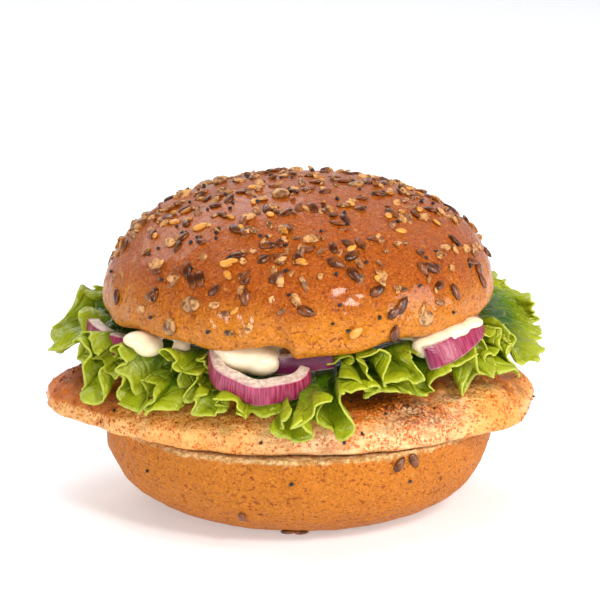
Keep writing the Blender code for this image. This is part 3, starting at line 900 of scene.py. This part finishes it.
# %% The lettuce's finish
def fresh_lettuce():
    """Fresh lettuce: waxy green with paler veins, going yellow at the frilled margin, dark towards the
    heart as painted shade.
    """
    finish, tree = new_finish("fresh frilly lettuce leaf")
    where = add(tree, "ShaderNodeTexCoord").outputs["Object"]
    tip = add(tree, "ShaderNodeAttribute", attribute_name="tip").outputs["Fac"]
    patch = add(tree, NOISE, graining(where, 9))
    share = add(tree, RANGE, {0: patch, 1: 0.35, 2: 0.65}, **EASED)
    # Painted shade: the green is dark where the leaf lies inside the burger and pales towards the margin,
    # where lettuce also turns yellow.
    colour = add(tree, MIX, {0: share, 6: linear("284c02"), 7: linear("547406")}, data_type="RGBA")
    paler = add(tree, RANGE, {0: tip, 1: 0.62, 2: 1.0, 4: 0.8}, **EASED)
    colour = add(tree, MIX, {0: paler, 6: colour, 7: linear("a6ac14")}, data_type="RGBA")
    sheet = add(tree, "ShaderNodeUVMap", uv_map="leaf").outputs[0]
    sockets = {"Vector": sheet, "Scale": 0.16, "Randomness": 1.0}
    veins = add(tree, "ShaderNodeTexVoronoi", sockets, feature="DISTANCE_TO_EDGE").outputs["Distance"]
    vein = add(tree, RANGE, {0: veins, 1: 0.0, 2: 0.08, 3: 1.0, 4: 0.0}, **EASED)
    part = add(tree, MATH, {0: vein, 1: 0.28}, operation="MULTIPLY")
    colour = add(tree, MIX, {0: part, 6: colour, 7: linear("93a434")}, data_type="RGBA")
    edge = add(tree, RANGE, {0: tip, 1: 0.972, 2: 0.992}, **EASED)
    part = add(tree, MATH, {0: edge, 1: 0.5}, operation="MULTIPLY")
    colour = add(tree, MIX, {0: part, 6: colour, 7: linear("c2c84a")}, data_type="RGBA")
    grain = add(tree, NOISE, graining(where, 2.2, 4))
    part = add(tree, MATH, {0: grain, 1: 1.2}, operation="MULTIPLY")
    other_part = add(tree, MATH, {0: vein, 1: 0.4}, operation="MULTIPLY")
    height = add(tree, MATH, {0: part, 1: other_part}, operation="SUBTRACT")
    grain = add(tree, NOISE, graining(where, 2.5, 2))
    shine = add(tree, RANGE, {0: grain, 1: 0.35, 2: 0.65, 3: 0.2, 4: 0.38}, **EASED)
    coated(tree, colour, shine, height, 0.6, Subsurface_Weight=0.2,
        Subsurface_Radius=(0.0010, 0.0016, 0.0003),
           Subsurface_Scale=1.0, Specular_IOR_Level=0.5)
    return finish


LETTUCE_LEAF = fresh_lettuce()


# %% [markdown]
# ### One ruffled leaf
# A lettuce leaf grows faster at its margin than at its root, so the margin has to fold. Even waves
# look like a curtain. Here a grid runs from a calm root to a folded margin, the waves drift along
# the leaf, every fold differs in height, and the edge itself is cut into small teeth.

# %% Ruffled leaf
def between(rows, share):
    """Reads a smooth curve through rows of numbers, with share from 0 at the first to 1."""
    place_in = share * (len(rows) - 1)
    i = min(len(rows) - 2, int(place_in))
    t = place_in - i
    p0, p1, p2, p3 = rows[max(0, i - 1)], rows[i], rows[i + 1], rows[min(len(rows) - 1, i + 2)]
    return [
        0.5 * (2 * b + (c - a) * t + (2 * a - 5 * b + 4 * c - d) * t * t + (3 * b - a - 3 * c + d) * t**3)
        for a, b, c, d in zip(p0, p1, p2, p3)
    ]


LEAF_THICKNESS = 0.45 * MM
ACROSS = 34


def ruffled_leaf(name, rows, folds, draw, fine=2.9, arch=3.0):
    """A leaf from rows of (angle, inner radius, its height, outer radius, its height, fold height)."""
    span = math.radians(abs(rows[-1][0] - rows[0][0])) * 66
    fold = span / folds
    along = max(60, int(span * 3.4))
    points, tips, sheet = [], [], []
    for i in range(along + 1):
        share = i / along
        degrees, inner, low_z, outer, high_z, tall = between(rows, share)
        drift = 1.1 * noise.noise(Vector((share * folds * 0.45, draw, 0)))
        phase = 2 * math.pi * (folds * share + drift) + draw
        tall *= 0.85 + 0.7 * noise.noise(Vector((share * folds * 0.8, draw, 5)))
        turn = math.radians(degrees)
        out = Vector((math.cos(turn), math.sin(turn), 0))
        side = Vector((-math.sin(turn), math.cos(turn), 0))
        root = Vector((inner * out.x, inner * out.y, low_z))
        end = Vector((outer * out.x, outer * out.y, high_z))
        blade = (end - root).normalized()
        face = blade.cross(side)
        lobes = 0.16 * noise.noise(Vector((share * span / 7, draw, 9)))
        teeth = 0.12 * noise.noise(Vector((share * span / 1.6, draw, 2)))
        for j in range(ACROSS):
            part = j / (ACROSS - 1)
            grown = part**2.2
            rim = smooth((part - 0.6) / 0.4)
            bent = phase + 1.3 * noise.noise(Vector((share * folds * 1.1, part * 2.5, draw)))
            way = root + (end - root) * part * (1 + lobes * part + teeth * rim)
            way += Vector((0, 0, arch * 4 * part * (1 - part)))
            way += face * tall * grown * (math.sin(bent) + 0.25 * math.sin(1.7 * bent + draw))
            way -= side * fold * 0.16 * grown * math.sin(2 * bent)
            way += blade * tall * 0.5 * grown * math.cos(bent + 0.9 + draw)
            way += face * tall * 0.28 * rim * math.sin(fine * bent + 2.0 * draw)
            way -= side * fold * 0.06 * rim * math.sin(2 * fine * bent + 4.0 * draw)
            crinkle = 1.0 * noise.noise(way / 5.0) + 0.5 * noise.noise(way / 2.2)
            way += face * crinkle * (0.4 + 0.8 * rim)
            points.append(place(*way))
            tips.append(part)
            sheet.append((share * span * 1.8, part * 26))
    leaf = new_piece(name, points, grid_faces(along + 1, ACROSS), LETTUCE_LEAF)
    paint(leaf, "tip", tips)
    layer = leaf.data.uv_layers.new(name="leaf")
    for loop in leaf.data.loops:
        layer.data[loop.index].uv = sheet[loop.vertex_index]
    wall = leaf.modifiers.new("wall", "SOLIDIFY")
    wall.thickness = LEAF_THICKNESS
    wall.offset = 0
    return leaf


# %% [markdown]
# ### The leaves
# The leaves stick out between the halves of the bun all round, most of them at the left and the
# right. Each is a row of stations, which makes a leaf easy to move, widen or turn down.

# %% Lettuce round the burger
LEAVES = {
    "lettuce_left_frill": (("lettuce_left",), 5.5, 1.3, (
        (158, 42, 51, 70, 52, 6), (172, 42, 50, 72, 49, 7), (187, 42, 50, 71, 48.5, 6.5),
        (202, 40, 50, 67, 46, 6.5), (216, 36, 50, 64, 43, 7.5), (229, 34, 50, 61, 44, 6.5),
            (240, 34, 50, 54, 49, 4))),
    "lettuce_left_upper": ((), 4.5, 2.6, (
        (176, 38, 53, 62, 53, 4), (190, 38, 52, 65, 49, 5), (203, 36, 52, 64, 50, 5.5),
        (216, 34, 53, 61, 51, 6), (229, 34, 53, 57, 52, 5.5), (241, 34, 53, 53, 54, 3))),
    "lettuce_front_frill": (("lettuce_front",), 1.8, 2.1, (
        (238, 34, 49, 55, 46, 2), (246, 34, 49, 61, 44, 2.6), (255, 34, 49, 61, 43.5, 2.6),
            (265, 34, 49, 57, 44, 1.5))),
    "lettuce_hanging_frill": (("lettuce_front_right",), 4, 4.2, (
        (264, 32, 50, 62, 42, 5), (272, 32, 50, 66, 42, 6.5), (282, 32, 50, 64, 46, 7),
        (295, 32, 50, 59, 49, 7), (311, 34, 50, 59, 48, 7), (325, 36, 50, 61, 48, 6.5),
            (338, 38, 50, 61, 49, 5))),
    "lettuce_right_upper": ((), 4.5, 0.9, (
        (282, 34, 53, 55, 54, 4), (294, 34, 53, 58, 54, 6), (308, 34, 53, 59, 53, 6.5),
        (322, 36, 53, 61, 53, 6.5), (336, 38, 53, 62, 54, 6), (348, 40, 53, 63, 55, 4))),
    "lettuce_right_leaf": (("lettuce_right",), 3.5, 0.4, (
        (330, 40, 51, 60, 49, 5), (343, 42, 52, 67, 50, 6), (357, 44, 53, 70, 51, 6),
            (372, 44, 54, 70, 55, 6),
        (390, 42, 53, 67, 57, 5))),
    "lettuce_back_right_frill": (("lettuce_back_right",), 5, 3.3, (
        (34, 40, 52, 64, 54, 5), (58, 38, 52, 60, 51, 6), (82, 36, 52, 58, 51, 6),
            (104, 36, 52, 60, 49, 5))),
    "lettuce_back_left_frill": (("lettuce_back_left",), 5, 5.0, (
        (104, 36, 52, 60, 51, 5), (126, 36, 52, 60, 49, 6), (146, 38, 52, 65, 53, 6),
            (166, 40, 53, 67, 55, 5))),
}
for leaf_name, (nodes, folds, draw, rows) in LEAVES.items():
    settle(ruffled_leaf(leaf_name, rows, folds, draw), "lettuce", *nodes)

# %% [markdown]
# ## Red onion
# A slice through a red onion falls apart into rings. Each ring has a purple papery skin outside,
# a pale pinkish cut face above and below, and a thin membrane inside. A ring is a band swept
# along an arc, so a grid of points with a rounded cross-section does it, with the skin and the
# cut face told apart by a painted number.

# %% The onion's finish
def red_onion():
    """Red onion: purple skin with fine stripes outside, pale and moist where it is cut."""
    finish, tree = new_finish("red onion ring")
    where = add(tree, "ShaderNodeTexCoord").outputs["Object"]
    skin = add(tree, "ShaderNodeAttribute", attribute_name="skin").outputs["Fac"]
    band = add(tree, "ShaderNodeUVMap", uv_map="band").outputs[0]
    scaled = add(tree, "ShaderNodeMapping", {"Vector": band, "Scale": (1.6, 0.12, 1)})
    stripes = add(tree, "ShaderNodeTexNoise",
        {"Vector": scaled.outputs[0], "Scale": 1.0, "Detail": 4.0}).outputs[0]
    share = add(tree, RANGE, {0: stripes, 1: 0.35, 2: 0.68}, **EASED)
    purple = add(tree, MIX, {0: share, 6: linear("80163e"), 7: linear("b84a6c")}, data_type="RGBA")
    mask = add(tree, "ShaderNodeAttribute", attribute_name="deep").outputs["Fac"]
    deep = add(tree, MIX, {0: mask, 6: purple, 7: linear("5a0f38")}, data_type="RGBA")
    grain = add(tree, NOISE, graining(where, 1.2))
    share = add(tree, RANGE, {0: grain, 1: 0.35, 2: 0.65}, **EASED)
    flesh = add(tree, MIX, {0: share, 6: linear("e0cdbd"), 7: linear("b9a090")}, data_type="RGBA")
    colour = add(tree, MIX, {0: skin, 6: flesh, 7: deep}, data_type="RGBA")
    shine = add(tree, RANGE, {0: skin, 1: 0, 2: 1, 3: 0.42, 4: 0.24}, **EASED)
    grain = add(tree, NOISE, graining(where, 0.6, 2))
    part = add(tree, MATH, {0: stripes, 1: grain}, operation="ADD")
    coated(
        tree, colour, shine, part, 0.1, Subsurface_Weight=0.2,
        Subsurface_Radius=(0.0025, 0.0012, 0.0012), Subsurface_Scale=1.0
    )
    return finish


RED_ONION = red_onion()


# %% [markdown]
# ### The rings
# Four rings hang out of the burger: one stands in front, one lies behind it, and two show at the
# sides. One function sweeps them all, and a table holds where each lies and how far it runs.

# %% Onion rings
def onion_ring(name, centre, radius, start, end, height, wall, draw, tilt=None, deep=0.0, flare=0.0):
    """A band along an arc: centre and sizes in mm, angles in degrees, tilt as (axis, degrees)."""
    section = []
    corner = 0.55
    for x, z in ((-wall / 2, -height / 2), (wall / 2, -height / 2), (wall / 2, height / 2),
        (-wall / 2, height / 2)):
        sign_x, sign_z = math.copysign(1, x), math.copysign(1, z)
        middle = (x - sign_x * corner, z - sign_z * corner)
        first = math.atan2(-sign_z, -sign_x) + math.pi - math.pi / 4
        for step in range(4):
            turn = first + math.pi / 2 * step / 3
            section.append((middle[0] + corner * math.cos(turn), middle[1] + corner * math.sin(turn)))
    section = evenly(section + section[:1], 0.45)[:-1]
    count = int(math.radians(end - start) * radius / 0.5)
    points, skins, uv, deeps = [], [], [], []
    turned = Matrix.Rotation(math.radians(tilt[1]), 4, tilt[0]) if tilt else Matrix()
    for i in range(count + 1):
        share = i / count
        angle = math.radians(start + (end - start) * share)
        reach = radius + 0.6 * math.sin(2.3 * angle + draw) + 0.25 * math.sin(7 * angle + draw)
        closing = 0.82 + 0.18 * smooth(min(share, 1 - share) * 14)
        for across, up in section:
            bulge = 0.35 * (1 - (2 * up / height) ** 2)
            out = reach + (across + bulge + flare * up / height) * (closing if across > 0 else 1)
            wave = 0.25 * math.sin(5 * angle + draw)
            point = turned @ Vector((out * math.cos(angle), out * math.sin(angle), up + wave))
            points.append(place(*(point + Vector(centre))))
            skins.append(smooth((across - wall / 2 + 0.75) / 0.4)
                * (1 - 0.8 * smooth((abs(up) - height / 2 + 0.5) / 0.4)))
            uv.append((math.radians(end - start) * radius * share, up))
            deeps.append(deep + 0.5 * smooth((0.16 - share) / 0.16))
    faces = grid_faces(count + 1, len(section), True)
    around = len(section)
    faces.append(tuple(reversed(range(around))))
    faces.append(tuple(range(count * around, (count + 1) * around)))
    ring = new_piece(name, points, faces, RED_ONION)
    turn_outwards(ring)
    paint(ring, "skin", skins)
    paint(ring, "deep", deeps)
    layer = ring.data.uv_layers.new(name="band")
    for loop in ring.data.loops:
        layer.data[loop.index].uv = uv[loop.vertex_index]
    return ring


RINGS = (
    ("onion_front_ring", "onion_front", (-10.2, -46.4, 55.0), 13.2, 158, 334, 7.0, 3.5, 1.0, ("X", 27),
        0.0, -0.6),
    ("onion_middle_ring", "onion_middle", (1.5, -32, 55.6), 18.5, 244, 294, 5.6, 3.4, 2.0, ("Y", -6),
        0.95, 0.0),
    ("onion_right_ring", "onion_right", (29.0, -21, 52.8), 23.4, 288, 360, 7.0, 3.6, 3.0, ("Y", -17),
        0.1, -1.4),
    ("onion_left_ring", "onion_left", (-37.5, -1, 51.8), 24.0, 176, 260, 6.8, 3.6, 4.0, ("Y", 2), 0.2,
        -1.0),
)
for ring_name, ring_node, *ring_sizes in RINGS:
    settle(onion_ring(ring_name, *ring_sizes), "onion", ring_node)

# %% [markdown]
# ## Sauce
# A thick white sauce of oil and egg holds soft, rounded lobes where the bun has pressed it out.
# Lobes that flow into one another are awkward to draw as one surface. It is easier to lay down
# overlapping egg shapes, fuse them with a voxel remesh, and smooth the joints.

# %% The sauce's finish
def white_sauce():
    """White sauce: smooth, thick and shiny, slightly yellow and soft to the light."""
    finish, tree = new_finish("thick white sauce")
    where = add(tree, "ShaderNodeTexCoord").outputs["Object"]
    grain = add(tree, NOISE, graining(where, 6))
    share = add(tree, RANGE, {0: grain, 1: 0.35, 2: 0.65}, **EASED)
    colour = add(tree, MIX, {0: share, 6: linear("f6e6c8"), 7: linear("efdcb8")}, data_type="RGBA")
    grain = add(tree, NOISE, graining(where, 3, 2))
    coated(
        tree, colour, 0.16, grain, 0.12, Subsurface_Weight=0.4,
        Subsurface_Radius=(0.003, 0.0025, 0.0018), Subsurface_Scale=1.0
    )
    return finish


WHITE_SAUCE = white_sauce()


# %% [markdown]
# ### The lobes of sauce
# The sauce is one thin layer, pressed out in lobes wherever the crown leaves a gap. Each lobe is an
# egg or two, all are fused into one skin, and that skin is smoothed until the seams are gone.

# %% Sauce lobes
def sauce_lobes(name, eggs, voxel_mm=0.5, rounds=10):
    """Fuses egg shapes given as (x, y, z, half width, half depth, half height) in mm."""
    shape = bmesh.new()
    for x, y, z, wide, deep, high in eggs:
        size = Matrix.Diagonal((wide * MM, deep * MM, high * MM, 1))
        bmesh.ops.create_icosphere(shape, subdivisions=4, radius=1,
            matrix=Matrix.Translation(place(x, y, z)) @ size)
    mesh = bpy.data.meshes.new(name)
    shape.to_mesh(mesh)
    shape.free()
    rough = bpy.data.objects.new(name, mesh)
    bpy.context.collection.objects.link(rough)
    even = rough.modifiers.new("even", "REMESH")
    even.mode = "VOXEL"
    even.voxel_size = voxel_mm * MM
    soft = rough.modifiers.new("soft", "SMOOTH")
    soft.iterations = rounds
    graph = bpy.context.evaluated_depsgraph_get()
    made = bpy.data.meshes.new_from_object(rough.evaluated_get(graph), depsgraph=graph)
    bpy.data.objects.remove(rough)
    made.materials.clear()
    made.materials.append(WHITE_SAUCE)
    made.shade_smooth()
    piece = bpy.data.objects.new(name, made)
    bpy.context.collection.objects.link(piece)
    return piece


layer_eggs = [(0, 0, 58.8, 38, 38, 1.8), (-30, -28, 59, 12, 12, 1.6), (34, -26, 59.5, 16, 14, 1.8)]
front_eggs = [(-15, -46, 56.4, 8.6, 7.6, 4.6), (-10.5, -48, 55.4, 6.0, 6.0, 4.2),
    (-18, -44, 58.5, 7, 8, 2.6)]
front_eggs += [(-14, -38, 58.6, 12, 12, 2.2)]
left_eggs = [(-45, -34.5, 57.8, 5.5, 4.5, 2.5), (-43, -36, 56.4, 4.4, 3.8, 3.2),
    (-38, -27, 59.6, 8, 8, 1.6)]
left_eggs += [(-33.5, -39.5, 56.6, 2.8, 2.8, 2.6), (-32.5, -40.5, 54.2, 2.4, 2.4, 1.8),
    (-32, -32, 59.2, 5, 7, 1.4)]
middle_eggs = [(7.5, -50.0, 57.4, 2.2, 1.5, 2.4), (5.5, -48.5, 59.2, 4, 3.5, 1.5), (5, -42, 59, 9, 9, 1.8)]
right_eggs = [(39, -37.5, 59.4, 5.5, 4.5, 2.4), (44, -34.5, 60.8, 5.0, 4.5, 2.0),
    (49, -30, 61.8, 4.2, 4.5, 1.5)]
right_eggs += [(36.5, -41.0, 57.4, 4.6, 2.8, 3.4), (41, -38, 58.6, 4.6, 3.0, 3.0),
    (36, -32, 59.6, 7, 8, 2.0)]
settle(sauce_lobes("sauce_lobes", layer_eggs + front_eggs + left_eggs + middle_eggs + right_eggs),
    "sauce", "sauce")

# %% [markdown]
# ## Floor and light
# The set is a pale sweep: a floor that curves up far behind the burger. A bright, even room fills
# the shadows, one large soft panel behind and above gives the crust its broad sheen, and a
# warmer panel on the right shapes the layers and throws the soft shadow to the left.

# %% Floor and light
def pale_sweep():
    """A sweep of matt paper, almost white and with hardly any grain."""
    finish, tree = new_finish("matt white paper sweep")
    where = add(tree, "ShaderNodeTexCoord").outputs["Object"]
    grain = add(tree, NOISE, graining(where, 40))
    tone = add(tree, MIX, {0: grain, 6: linear("e2e5ea"), 7: linear("dfe2e7")}, data_type="RGBA")
    grain = add(tree, NOISE, graining(where, 2))
    coated(tree, tone, 0.9, grain, 0.01, Emission_Color=linear("ffffff"), Emission_Strength=0.35)
    points = []
    for i in range(25):
        turn = math.radians(90) * max(0, i - 6) / 18
        depth = -1.6 + 0.5 * min(i, 6) + (1.2 * math.sin(turn))
        points += [(-4, depth, 1.2 * (1 - math.cos(turn))), (4, depth, 1.2 * (1 - math.cos(turn)))]
    points += [(-4, points[-1][1], 4), (4, points[-1][1], 4)]
    sweep = new_piece("sweep", points, grid_faces(len(points) // 2, 2), finish)


def soft_panel(name, direction, distance, size, power, colour, mirrored=True):
    """A square panel that faces the burger from a direction seen from it."""
    lamp = bpy.data.lights.new(name, "AREA")
    lamp.shape = "RECTANGLE"
    lamp.size, lamp.size_y = size
    lamp.energy = power
    lamp.color = linear(colour)[:3]
    panel = bpy.data.objects.new(name, lamp)
    panel.location = aim + Vector(direction).normalized() * distance
    panel.rotation_euler = (aim - panel.location).to_track_quat("-Z", "Y").to_euler()
    panel.visible_glossy = mirrored
    bpy.context.collection.objects.link(panel)


pale_sweep()
soft_panel("top_panel", (-0.1, 0.1, 1.0), 0.9, (0.7, 0.7), 6.0, "ffffff", False)
soft_panel("front_panel", (0.1, -1.0, 0.35), 1.1, (0.8, 0.6), 3.6, "ffffff", False)
soft_panel("key_panel", (0.55, -0.85, 0.75), 1.0, (0.22, 0.22), 5.6, "fffaf4")
soft_panel("back_panel", (-0.45, 0.85, 0.75), 0.9, (0.8, 0.4), 2.4, "ffffff")
soft_panel("right_panel", (1.0, -0.35, 0.3), 0.9, (0.3, 0.45), 4.4, "fff6ec")
soft_panel("left_panel", (-0.75, -0.75, 0.12), 0.9, (0.14, 0.2), 2.4, "ffffff")
world = bpy.data.worlds.new("bright room")
world.use_nodes = True
world.node_tree.nodes["Background"].inputs["Color"].default_value = (1, 1, 1, 1)
world.node_tree.nodes["Background"].inputs["Strength"].default_value = 0.10
bpy.context.scene.world = world
print("lights", [lamp.name for lamp in bpy.data.lights])
